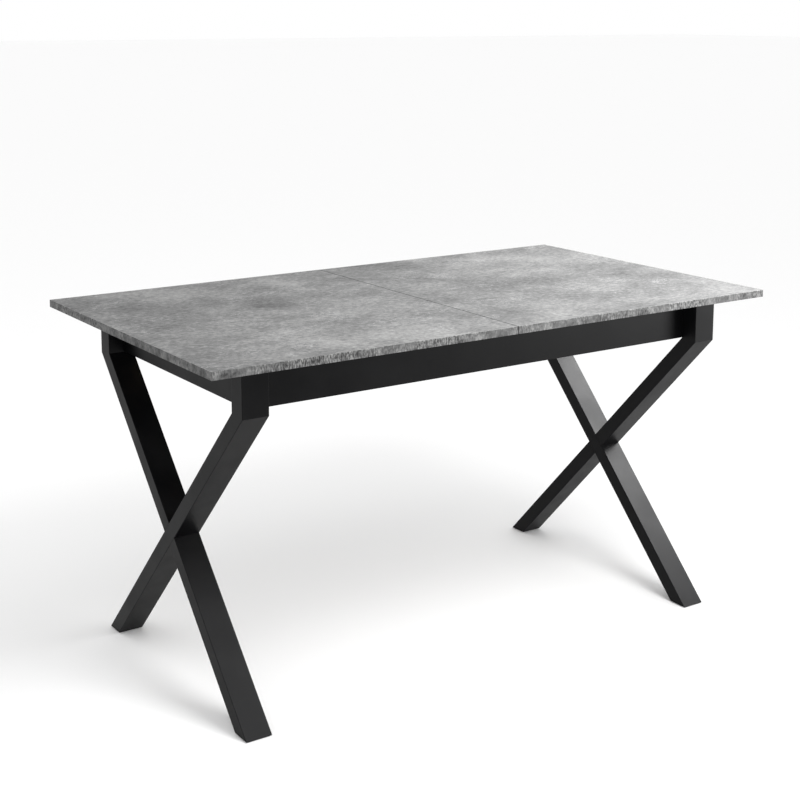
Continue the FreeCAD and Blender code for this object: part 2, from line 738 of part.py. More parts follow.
def make_rivet(front, pivot_y):
    """The headed rivet that a latch lever turns on."""
    shank = cylinder(f"{front}_rivet_shank", ("latch_x", pivot_y, "lever_bottom - lever_clearance"), "+Z",
                     "rivet_radius", "underside - lever_bottom + lever_clearance")
    head = cylinder(f"{front}_rivet_head", ("latch_x", pivot_y, "lever_bottom - lever_clearance"), "-Z",
                    "rivet_head_radius", "rivet_head_height")
    rivet = DOC.addObject("Part::Fuse", f"{front}_rivet")
    rivet.Base = shank
    rivet.Tool = head
    return rivet


def make_lever(front, pivot_y):
    """A flat lever with a slot for the catch pin. At rest it lies unlocked, beside the seam."""
    half = "lever_width / 2"
    slot = "rivet_radius + slot_clearance"
    tip = "latch_throw + rivet_radius + slot_clearance + lever_nose"
    shape = [("0 - lever_tail", f"0 - {half}"), (tip, f"0 - {half}"), (tip, half),
             (f"latch_throw + {slot}", half), (f"latch_throw + {slot}", f"0 - ({slot})"),
             (f"latch_throw - ({slot})", f"0 - ({slot})"), (f"latch_throw - ({slot})", half),
             ("0 - lever_tail", half)]
    corners = [(y, f"0 - ({x})") for x, y in shape]
    at = ("latch_x", pivot_y, "lever_bottom")
    label = f"{front}_latch_lever"
    body = padded(label, "XY_Plane", corners, "lever_thickness", at)
    pocketed(body, "XY_Plane", lambda sketch: round_holes(sketch, "rivet_radius + rivet_fit", [("0", "0")]),
             "lever_thickness", True)
    node(body, label)


def check_document():
    """Stops the build when any object failed or any sub-part has no sound shape."""
    DOC.recompute()
    for item in DOC.Objects:
        if "Invalid" in item.State or "Error" in item.State:
            raise RuntimeError(f"{item.Label} failed to build")
    labels = [item.Label for item in NODES]
    if len(set(labels)) != len(labels):
        raise RuntimeError("two sub-parts share a name")
    for item in NODES:
        shape = item.Shape
        if shape.isNull() or not shape.isValid() or shape.Volume <= 0:
            raise RuntimeError(f"{item.Label} has no sound solid")


fill_sheet()
make_legs()
make_aprons()
make_corner_blocks()
make_foot_glides()
make_glide_strips()
make_bearers()
make_slides()
make_tops()
make_leaf()
make_latches()
check_document()
os.makedirs("parts", exist_ok=True)
for piece in NODES:
    piece.Shape.exportStep(f"parts/{piece.Label}.step")
print(len(NODES), "sub-parts written")
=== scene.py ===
"""Looks of the extendable dining table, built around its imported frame.

The frame gives every piece its place. This script dresses each one: the concrete-look halves of the
top, the crossed black legs with their aprons, the ball slides, the latches, the stored leaf and every
fixing. Lengths are metres in the frame, and pattern sizes are given in millimetres.
"""
import logging
import math
from dataclasses import dataclass, field
from enum import Enum
from typing import Any, Iterable

import bmesh
import bpy
from mathutils import Matrix, Vector


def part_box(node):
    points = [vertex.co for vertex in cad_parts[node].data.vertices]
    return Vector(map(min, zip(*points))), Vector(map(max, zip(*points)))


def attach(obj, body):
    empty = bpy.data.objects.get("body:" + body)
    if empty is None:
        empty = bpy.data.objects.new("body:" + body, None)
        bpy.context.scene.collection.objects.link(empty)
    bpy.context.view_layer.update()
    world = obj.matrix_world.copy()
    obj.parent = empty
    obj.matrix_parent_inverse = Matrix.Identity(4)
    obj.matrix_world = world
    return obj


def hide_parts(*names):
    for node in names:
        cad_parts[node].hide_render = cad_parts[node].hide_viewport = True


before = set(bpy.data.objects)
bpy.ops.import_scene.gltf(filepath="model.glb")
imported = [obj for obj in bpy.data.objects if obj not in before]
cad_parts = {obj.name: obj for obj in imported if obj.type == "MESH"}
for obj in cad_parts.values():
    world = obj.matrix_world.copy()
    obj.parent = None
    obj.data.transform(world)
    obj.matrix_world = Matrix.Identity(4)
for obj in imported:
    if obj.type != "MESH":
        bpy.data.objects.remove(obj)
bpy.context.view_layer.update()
LOG = logging.getLogger("dining_table")
MM = 0.001
WELD = 0.001 * MM  # points nearer than this are one point
RIM_SHARE = 0.97  # a screw's points further out than this share of its radius are its head's rim
LEFT_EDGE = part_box("top_left")[1][0]
RIGHT_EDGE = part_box("top_right")[0][0]
# Colour of the painted seam shade: a dark rim on the top beside the gap, partly the boards' dark edges and
# partly painted shade.
SEAM_SHADE_COLOUR = "#1e1e1e"  # the dark rim on both sides of the seam

Socket = bpy.types.NodeSocket
Tree = bpy.types.NodeTree


class Axis(Enum):
    """A direction that wood grain runs along."""

    X = (1.0, 0.0, 0.0)
    Y = (0.0, 1.0, 0.0)


def add(tree: Tree, kind: str, inputs: dict | None = None, **settings: Any) -> bpy.types.Node:
    """Adds one node with its settings, values and links.

    Args:
        tree: The shader or geometry tree that gets the node.
        kind: The node's Blender type name.
        inputs: Socket name or index, to a value or to the socket that feeds it.
        settings: Properties of the node itself.

    Returns:
        The new node.
    """
    made = tree.nodes.new(kind)
    for name, value in settings.items():
        setattr(made, name, value)
    for key, value in (inputs or {}).items():
        if isinstance(value, bpy.types.NodeSocket):
            tree.links.new(value, made.inputs[key])
        else:
            made.inputs[key].default_value = value
    return made


def linear(hex_colour: str) -> tuple[float, float, float, float]:
    """Turns an sRGB hex colour into linear light.

    Args:
        hex_colour: Six hex digits after a hash sign.

    Returns:
        Red, green, blue and alpha.
    """
    parts = [int(hex_colour[i:i + 2], 16) / 255 for i in (1, 3, 5)]
    light = [c / 12.92 if c <= 0.04045 else ((c + 0.055) / 1.055) ** 2.4 for c in parts]
    return (light[0], light[1], light[2], 1.0)


def ramp(node: bpy.types.Node, stops: Iterable[tuple[float, str]]) -> Socket:
    """Sets a colour ramp's stops.

    Args:
        node: The colour ramp.
        stops: Position and hex colour of each stop, from low to high.

    Returns:
        The ramp's colour output.
    """
    elements = node.color_ramp.elements
    for i, (position, colour) in enumerate(stops):
        element = elements[i] if i < len(elements) else elements.new(position)
        element.position = position
        element.color = linear(colour)
    return node.outputs["Color"]


@dataclass(frozen=True)
class Finish:
    """A finish that a piece can be dressed in.

    Args:
        name: The material's name.
    """

    name: str

    def material(self) -> bpy.types.Material:
        """Makes the material, or returns the one made before.

        Returns:
            The material with its node tree.
        """
        found = bpy.data.materials.get(self.name)
        if found:
            return found
        made = bpy.data.materials.new(self.name)
        made.use_nodes = True
        tree = made.node_tree
        shader = tree.nodes["Principled BSDF"]
        place = add(tree, "ShaderNodeTexCoord").outputs["Object"]
        self.shade(tree, shader, place)
        return made

    def shade(self, tree: Tree, shader: bpy.types.Node, place: Socket) -> None:
        """Wires the pattern into the shader. Each finish has its own."""
        raise NotImplementedError

    @staticmethod
    def noise(tree: Tree, place: Socket, size_mm: float, detail: float = 4.0, stretch: tuple = (1, 1, 1),
              offset: float = 0.0, roughness: float = 0.55, distortion: float = 0.0) -> Socket:
        """Adds a noise of a real size.

        Args:
            tree: The tree.
            place: The coordinates, in metres.
            size_mm: The width of one blotch.
            detail: Octaves of finer noise.
            stretch: How many times longer than size_mm a blotch is, along each axis.
            offset: Moves the pattern, so that two layers of one size differ.
            roughness: How strong the finer octaves are.
            distortion: How far the pattern is warped.

        Returns:
            The noise's value, about 0.5 on average.
        """
        scale = tuple(1.0 / (size_mm * MM * s) for s in stretch)
        moved = add(tree, "ShaderNodeMapping", {"Vector": place, "Location": (offset, offset, offset),
                                                "Scale": scale}).outputs["Vector"]
        return add(tree, "ShaderNodeTexNoise", {"Vector": moved, "Scale": 1.0, "Detail": detail,
                                                "Roughness": roughness,
                                                "Distortion": distortion}).outputs[0]

    @staticmethod
    def blend(tree: Tree, layers: Iterable[tuple[Socket, float]], centre: float = 0.5) -> Socket:
        """Adds weighted layers about a centre value.

        Args:
            tree: The tree.
            layers: Each layer's value, centred on 0.5, and its weight.
            centre: The value where every layer is at its average.

        Returns:
            The sum.
        """
        total: Socket | float = centre
        for value, weight in layers:
            scaled = add(tree, "ShaderNodeMath", {0: value, 1: -0.5}, operation="ADD").outputs[0]
            total = add(tree, "ShaderNodeMath", {0: scaled, 1: weight, 2: total},
                        operation="MULTIPLY_ADD").outputs[0]
        return total

    @staticmethod
    def remap(tree: Tree, value: Socket, low: float, high: float, to_low: float = 0.0,
              to_high: float = 1.0) -> Socket:
        """Maps a range onto another, clamped and smooth.

        Args:
            tree: The tree.
            value: The value to map.
            low: Where the input range starts.
            high: Where the input range ends.
            to_low: What low becomes.
            to_high: What high becomes.

        Returns:
            The mapped value.
        """
        return add(tree, "ShaderNodeMapRange", {"Value": value, 1: low, 2: high, 3: to_low, 4: to_high},
                   interpolation_type="SMOOTHSTEP").outputs["Result"]

    @staticmethod
    def seam_shaded(tree: Tree, place: Socket, base: Socket, width_mm: float) -> Socket:
        """Paints a dark rim along the seam, partly the boards' dark edges and partly painted shade of the
        gap, which alone is too thin to show as a line.

        Args:
            tree: The tree.
            place: The coordinates, in metres.
            base: The colour away from the seam.
            width_mm: How far the rim reaches past the gap, or 0 for none.

        Returns:
            The colour with its dark rim of painted seam shade.
        """
        if not width_mm:
            return base
        # Painted shade: the surface within width_mm of the seam gap is darkened.
        across = add(tree, "ShaderNodeSeparateXYZ", {0: place}).outputs["X"]
        near = add(tree, "ShaderNodeMath", {0: across, 1: (LEFT_EDGE + RIGHT_EDGE) / 2,
                                            2: (RIGHT_EDGE - LEFT_EDGE) / 2 + width_mm * MM},
                   operation="COMPARE").outputs[0]
        return add(tree, "ShaderNodeMix", {0: near, 6: base, 7: linear(SEAM_SHADE_COLOUR)},
                   data_type="RGBA").outputs[2]

    @staticmethod
    def bump(tree: Tree, shader: bpy.types.Node, height: Socket, depth_mm: float,
             strength: float = 1.0) -> None:
        """Puts fine relief on the surface.

        Args:
            tree: The tree.
            shader: The Principled shader.
            height: The relief, from 0 to 1.
            depth_mm: How deep a full step of it is.
            strength: How much of it shows.
        """
        relief = add(tree, "ShaderNodeBump", {"Height": height, "Distance": depth_mm * MM,
                                              "Strength": strength})
        tree.links.new(relief.outputs["Normal"], shader.inputs["Normal"])


@dataclass(frozen=True)
class ConcreteLaminate(Finish):
    """Printed concrete-look laminate on a particle board: grey clouds, trowel marks and pale flecks."""

    name: str = "concrete_look_laminate"
    dark: str = "#343434"
    middle: str = "#555555"
    pale: str = "#777776"
    fleck: str = "#878787"
    cloud_mm: float = 240.0
    mottle_mm: float = 95.0
    grain_mm: float = 9.0
    scratch_mm: float = 70.0
    speck_mm: float = 5.0
    # How far the painted seam shade reaches past the gap, or 0 for none.
    seam_shade_mm: float = 0.0
    specular: float = 0.2
    relief_mm: float = 0.06
    fleck_share: float = 0.5
    scratch_width: float = 0.006

    def shade(self, tree: Tree, shader: bpy.types.Node, place: Socket) -> None:
        """Wires the printed decor, its matt sheen and its faint pressed relief."""
        cloud = self.noise(tree, place, self.cloud_mm, 2.0, offset=3.1)
        mottle = self.noise(tree, place, self.mottle_mm, 9.0, (1.3, 1, 1), 7.7, 0.66, 0.4)
        grain = self.noise(tree, place, self.grain_mm, 6.0, (1.5, 1, 1), 17.9, 0.78)
        tone = self.blend(tree, [(cloud, 0.5), (mottle, 0.62), (grain, 1.05)])
        base = ramp(add(tree, "ShaderNodeValToRGB", {"Fac": tone}),
                    [(0.2, self.dark), (0.5, self.middle), (0.8, self.pale)])
        patch = self.noise(tree, place, self.cloud_mm * 0.5, 3.0, offset=29.0)
        worn = self.remap(tree, patch, 0.5, 0.62, 0.0, self.fleck_share)
        spots = self.remap(tree, self.noise(tree, place, self.speck_mm, 3.0, (2.5, 1, 1), 23.5, 0.7),
                           0.58, 0.66)
        line = self.noise(tree, place, self.scratch_mm, 6.0, (2.0, 1, 1), 41.0, 0.6, 1.2)
        scratch = add(tree, "ShaderNodeMath", {0: line, 1: 0.5, 2: self.scratch_width},
                      operation="COMPARE").outputs[0]
        marks = add(tree, "ShaderNodeMath", {0: spots, 1: scratch}, operation="MAXIMUM").outputs[0]
        amount = add(tree, "ShaderNodeMath", {0: marks, 1: worn}, operation="MULTIPLY").outputs[0]
        mixed = add(tree, "ShaderNodeMix", {0: amount, 6: base, 7: linear(self.fleck)},
                    data_type="RGBA").outputs[2]
        tree.links.new(self.seam_shaded(tree, place, mixed, self.seam_shade_mm), shader.inputs["Base Color"])
        tree.links.new(self.remap(tree, tone, 0.2, 0.8, 0.78, 0.64), shader.inputs["Roughness"])
        shader.inputs["Specular IOR Level"].default_value = self.specular
        self.bump(tree, shader, self.blend(tree, [(mottle, 0.4), (grain, 0.8)]), self.relief_mm)


@dataclass(frozen=True)
class ConcreteEdgeBand(Finish):
    """The thin edge band in the same decor, whose dark flecks and upright streaks are stronger."""

    name: str = "concrete_look_edge_band"
    dark: str = "#141414"
    middle: str = "#4c4c4c"
    pale: str = "#737372"
    streak_mm: float = 3.0
    mottle_mm: float = 26.0
    patch_mm: float = 110.0
    # How far the painted seam shade reaches past the gap, or 0 for none.
    seam_shade_mm: float = 0.0
    specular: float = 0.3
    relief_mm: float = 0.06

    def shade(self, tree: Tree, shader: bpy.types.Node, place: Socket) -> None:
        """Wires streaks that stand upright on the narrow band."""
        streak = self.noise(tree, place, self.streak_mm, 3.0, (1, 1, 3), 5.3, 0.65)
        mottle = self.noise(tree, place, self.mottle_mm, 6.0, offset=13.0, roughness=0.7)
        patch = self.noise(tree, place, self.patch_mm, 3.0, offset=31.0)
        streaky = self.remap(tree, patch, 0.4, 0.62, 0.35, 1.7)
        centred = add(tree, "ShaderNodeMath", {0: streak, 1: 0.5}, operation="SUBTRACT").outputs[0]
        lines = add(tree, "ShaderNodeMath", {0: centred, 1: streaky, 2: 0.5},
                    operation="MULTIPLY_ADD").outputs[0]
        tone = self.blend(tree, [(lines, 1.6), (mottle, 1.5)])
        base = ramp(add(tree, "ShaderNodeValToRGB", {"Fac": tone}),
                    [(0.2, self.dark), (0.52, self.middle), (0.85, self.pale)])
        tree.links.new(self.seam_shaded(tree, place, base, self.seam_shade_mm), shader.inputs["Base Color"])
        tree.links.new(self.remap(tree, tone, 0.2, 0.8, 0.6, 0.48), shader.inputs["Roughness"])
        shader.inputs["Specular IOR Level"].default_value = self.specular
        self.bump(tree, shader, self.blend(tree, [(lines, 0.6), (mottle, 0.5)]), self.relief_mm)


@dataclass(frozen=True)
class SatinLacquer(Finish):
    """Sprayed black satin lacquer on wood: nearly black, with the faint ripple of a sprayed coat."""

    name: str = "black_satin_lacquer_on_wood"
    colour: str = "#070708"
    worn: str = "#0f0f10"
    slow_mm: float = 90.0
    peel_mm: float = 2.4
    specular: float = 0.075
    relief_mm: float = 0.03
    relief_share: float = 0.8

    def shade(self, tree: Tree, shader: bpy.types.Node, place: Socket) -> None:
        """Wires slow changes of tone and gloss, and the ripple."""
        slow = self.noise(tree, place, self.slow_mm, 3.0, offset=2.0)
        ripple = self.noise(tree, place, self.peel_mm, 2.0, offset=6.0)
        base = ramp(add(tree, "ShaderNodeValToRGB", {"Fac": slow}),
                    [(0.3, self.colour), (0.75, self.worn)])
        tree.links.new(base, shader.inputs["Base Color"])
        tree.links.new(self.remap(tree, slow, 0.3, 0.7, 0.36, 0.44), shader.inputs["Roughness"])
        shader.inputs["Specular IOR Level"].default_value = self.specular
        self.bump(tree, shader, ripple, self.relief_mm, self.relief_share)


@dataclass(frozen=True)
class ZincPlate(Finish):
    """Bright zinc on pressed steel: cool grey metal with a soft, slightly blotched shine."""

    name: str = "zinc_plated_steel"
    colour: str = "#b4b7bb"
    cloudy: str = "#989ba0"
    glossy: float = 0.3
    dull: float = 0.42
    blotch_mm: float = 14.0
    rolled_mm: float = 0.8
    rolled_stretch: float = 30.0

    def shade(self, tree: Tree, shader: bpy.types.Node, place: Socket) -> None:
        """Wires the plating's blotches and rolling marks."""
        blotch = self.noise(tree, place, self.blotch_mm, 4.0, offset=4.0)
        rolled = self.noise(tree, place, self.rolled_mm, 2.0, (self.rolled_stretch, 1, 1), 8.0)
        base = ramp(add(tree, "ShaderNodeValToRGB", {"Fac": blotch}),
                    [(0.3, self.cloudy), (0.7, self.colour)])
        tree.links.new(base, shader.inputs["Base Color"])
        shader.inputs["Metallic"].default_value = 1.0
        tree.links.new(self.remap(tree, blotch, 0.3, 0.7, self.dull, self.glossy), shader.inputs["Roughness"])
        self.bump(tree, shader, rolled, 0.01, 0.5)


@dataclass(frozen=True)
class Beech(Finish):
    """Planed beech: warm pale wood with long grain and the short dark dashes of its rays."""

    name: str = "planed_beech_x"
    grain: Axis = Axis.X
    pale: str = "#d2b184"
    deep: str = "#b48c5e"
    grain_mm: float = 3.5
    ray_mm: float = 1.3

    def shade(self, tree: Tree, shader: bpy.types.Node, place: Socket) -> None:
        """Wires grain and rays along the piece."""
        along = tuple(1 + 24 * part for part in self.grain.value)
        rays_along = tuple(1 + 5 * part for part in self.grain.value)
        grain = self.noise(tree, place, self.grain_mm, 4.0, along, 1.0, 0.6, 0.2)
        rays = self.remap(tree, self.noise(tree, place, self.ray_mm, 2.0, rays_along, 9.0), 0.62, 0.7)
        tone = self.blend(tree, [(grain, 1.2), (rays, -0.25)], 0.42)
        base = ramp(add(tree, "ShaderNodeValToRGB", {"Fac": tone}), [(0.2, self.deep), (0.7, self.pale)])
        tree.links.new(base, shader.inputs["Base Color"])
        tree.links.new(self.remap(tree, grain, 0.3, 0.7, 0.62, 0.5), shader.inputs["Roughness"])
        self.bump(tree, shader, grain, 0.06)


@dataclass(frozen=True)
class Moulded(Finish):
    """A moulded plastic or rubber: one colour with a fine spark-eroded grain.

    Args:
        colour: The plastic's colour.
        mark: The colour of its faint cloudiness.
        low: Its roughness where it is smoothest.
        high: Its roughness where it is dullest.
        cloud_mm: The width of its cloudiness.
        grain_mm: The width of the mould's grain.
    """

    colour: str = "#e6e4dc"
    mark: str = "#d8d6cd"
    low: float = 0.35
    high: float = 0.5
    cloud_mm: float = 12.0
    grain_mm: float = 0.9

    def shade(self, tree: Tree, shader: bpy.types.Node, place: Socket) -> None:
        """Wires the mould's texture."""
        cloud = self.noise(tree, place, self.cloud_mm, 3.0, offset=5.0)
        texture = self.noise(tree, place, self.grain_mm, 2.0, offset=3.0)
        base = ramp(add(tree, "ShaderNodeValToRGB", {"Fac": cloud}), [(0.3, self.mark), (0.7, self.colour)])
        tree.links.new(base, shader.inputs["Base Color"])
        tree.links.new(self.remap(tree, cloud, 0.3, 0.7, self.high, self.low), shader.inputs["Roughness"])
        self.bump(tree, shader, texture, 0.03)


@dataclass(frozen=True)
class Felt(Finish):
    """Pressed grey felt: matt, with tangled fibres."""

    name: str = "grey_felt"
    colour: str = "#6b6a68"
    deep: str = "#484745"
    fibre_mm: float = 1.2

    def shade(self, tree: Tree, shader: bpy.types.Node, place: Socket) -> None:
        """Wires fibres and a soft sheen."""
        fibre = self.noise(tree, place, self.fibre_mm, 6.0, offset=1.0, roughness=0.75, distortion=1.5)
        base = ramp(add(tree, "ShaderNodeValToRGB", {"Fac": fibre}), [(0.3, self.deep), (0.7, self.colour)])
        tree.links.new(base, shader.inputs["Base Color"])
        shader.inputs["Roughness"].default_value = 0.95
        shader.inputs["Sheen Weight"].default_value = 0.3
        self.bump(tree, shader, fibre, 0.4)


# The halves of the top get a dark rim along the seam, partly the boards' dark edges and partly painted shade
# of the gap, and the loose leaf is plain.
LAMINATE = ConcreteLaminate("concrete_look_laminate_seam_shaded_at_the_seam", seam_shade_mm=0.6)
EDGE = ConcreteEdgeBand("concrete_look_edge_band_seam_shaded_at_the_seam", seam_shade_mm=0.6)
LEAF_LAMINATE = ConcreteLaminate()
LEAF_EDGE = ConcreteEdgeBand()
LACQUER = SatinLacquer()
ZINC = ZincPlate()
BALL_STEEL = ZincPlate("polished_bearing_steel", "#cfd0d2", "#c2c3c6", 0.08, 0.16)
BEECH_X = Beech()
BEECH_Y = Beech("planed_beech_y", Axis.Y)
NYLON = Moulded("white_nylon")
BLACK_PLASTIC = Moulded("black_moulded_plastic", "#1b1b1c", "#232324", 0.4, 0.55)
RUBBER = Moulded("black_rubber", "#151515", "#1d1d1c", 0.7, 0.85)
FELT = Felt()


def dress(node: str, finish: Finish) -> None:
    """Gives a carried-over piece its finish.

    Args:
        node: The piece's name in the frame.
        finish: The finish it gets.
    """
    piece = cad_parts[node]
    piece.data.materials.clear()
    piece.data.materials.append(finish.material())
    LOG.info("%s dressed in %s", node, finish.name)


@dataclass(frozen=True)
class Fixing:
    """Where one screw sits and how long it is.

    Args:
        at: The outermost point of its head, on its axis.
        axis: The direction from head to tip.
        reach: Its whole length.
        pan: Whether its head stands on the surface.
    """

    at: Vector
    axis: Vector
    reach: float
    pan: bool


def solids_of(node: str) -> list[list[Vector]]:
    """Lists the corner points of each separate solid in a carried-over piece.

    Args:
        node: The piece's name in the frame.

    Returns:
        One list of points for each solid, in the order of the mesh.
    """
    shape = bmesh.new()
    shape.from_mesh(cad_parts[node].data)
    bmesh.ops.remove_doubles(shape, verts=shape.verts, dist=WELD)
    seen: set[bmesh.types.BMVert] = set()
    solids = []
    for start in shape.verts:
        if start in seen:
            continue
        solid, waiting = [], [start]
        seen.add(start)
        while waiting:
            vertex = waiting.pop()
            solid.append(vertex.co.copy())
            for edge in vertex.link_edges:
                other = edge.other_vert(vertex)
                if other not in seen:
                    seen.add(other)
                    waiting.append(other)
        solids.append(solid)
    shape.free()
    return solids


def corners(points: list[Vector]) -> tuple[Vector, Vector]:
    """Finds the box round some points.

    Args:
        points: The points.

    Returns:
        The lowest and the highest corner.
    """
    return (Vector([min(p[i] for p in points) for i in range(3)]),
            Vector([max(p[i] for p in points) for i in range(3)]))


def read_screw(points: list[Vector]) -> Fixing:
    """Works out how a screw lies from its solid in the frame.

    Args:
        points: The screw solid's points.

    Returns:
        The screw's place, axis, length and head.
    """
    low, high = corners(points)
    size = high - low
    centre = (low + high) / 2
    long_way = max(range(3), key=lambda i: size[i])
    radius = min(size) / 2

    def from_axis(point: Vector) -> float:
        """Gives a point's distance from the screw's axis."""
        across = point - centre
        across[long_way] = 0.0
        return across.length

    rim = [p[long_way] for p in points if from_axis(p) > RIM_SHARE * radius]
    outward = 1.0 if sum(rim) / len(rim) > centre[long_way] else -1.0
    head = centre.copy()
    head[long_way] = high[long_way] if outward > 0 else low[long_way]
    axis = Vector((0.0, 0.0, 0.0))
    axis[long_way] = -outward
    return Fixing(head, axis, size[long_way], max(rim) - min(rim) > MM)


class GrownPart:
    """A part that a Geometry Nodes tree grows on points, such as screws or balls."""

    def __init__(self, name: str, sizes: dict[str, float]) -> None:
        """Starts the tree with its named sizes.

        Args:
            name: The tree's name.
            sizes: The name and value of each size input.
        """
        self.sizes = sizes
        self.tree = bpy.data.node_groups.new(name, "GeometryNodeTree")
        self.tree.interface.new_socket("Geometry", in_out="INPUT", socket_type="NodeSocketGeometry")
        for size in sizes:
            self.tree.interface.new_socket(size, in_out="INPUT", socket_type="NodeSocketFloat")
        self.tree.interface.new_socket("Geometry", in_out="OUTPUT", socket_type="NodeSocketGeometry")
        self.given = self.tree.nodes.new("NodeGroupInput").outputs

    def math(self, operation: str, a: Any, b: Any) -> Socket:
        """Adds one sum of two numbers or sockets.

        Args:
            operation: What to do with them.
            a: The first.
            b: The second.

        Returns:
            The result.
        """
        return add(self.tree, "ShaderNodeMath", {0: a, 1: b}, operation=operation).outputs[0]

    def close(self, instances: list[Socket], finish: Finish) -> None:
        """Ends the tree: joins, realises and dresses the instances.

        Args:
            instances: What was instanced on the points.
            finish: The finish of the whole part.
        """
        joined = self.tree.nodes.new("GeometryNodeJoinGeometry")
        for one in instances:
            self.tree.links.new(one, joined.inputs[0])
        real = add(self.tree, "GeometryNodeRealizeInstances", {"Geometry": joined.outputs[0]})
        dressed = add(self.tree, "GeometryNodeSetMaterial",
                      {"Geometry": real.outputs[0], "Material": finish.material()})
        add(self.tree, "NodeGroupOutput", {0: dressed.outputs[0]})

    def grow(self, name: str, body: str, places: list[Vector], marks: dict[str, list], nodes: Iterable[str],
             slot: str) -> bpy.types.Object:
        """Grows the part on its places, as one plain mesh on one body.

        Args:
            name: The new piece's name.
            body: The body that it moves with.
            places: Where the copies stand.
            marks: Named values for each place: numbers or vectors.
            nodes: The carried-over pieces that it stands for.
            slot: The record's material slot; not used.

        Returns:
            The new piece.
        """
        seed = bpy.data.meshes.new(name)
        seed.from_pydata(places, [], [])
        for mark, values in marks.items():
            if isinstance(values[0], Vector):
                layer = seed.attributes.new(mark, "FLOAT_VECTOR", "POINT")
                layer.data.foreach_set("vector", [part for value in values for part in value])
            else:
                layer = seed.attributes.new(mark, "FLOAT", "POINT")
                layer.data.foreach_set("value", values)
        piece = bpy.data.objects.new(name, seed)
        bpy.context.scene.collection.objects.link(piece)
        modifier = piece.modifiers.new("grow", "NODES")
        modifier.node_group = self.tree
        for item in self.tree.interface.items_tree:
            if item.in_out == "INPUT" and item.name in self.sizes:
                modifier[item.identifier] = self.sizes[item.name]
        grown = bpy.data.meshes.new_from_object(piece.evaluated_get(bpy.context.evaluated_depsgraph_get()))
        piece.modifiers.remove(modifier)
        piece.data = grown
        grown.name = name
        for mark in marks:
            if mark in grown.attributes:
                grown.attributes.remove(grown.attributes[mark])
        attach(piece, body)
        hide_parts(*nodes)
        LOG.info("%s grown on %s: %d faces", name, body, len(grown.polygons))
        return piece


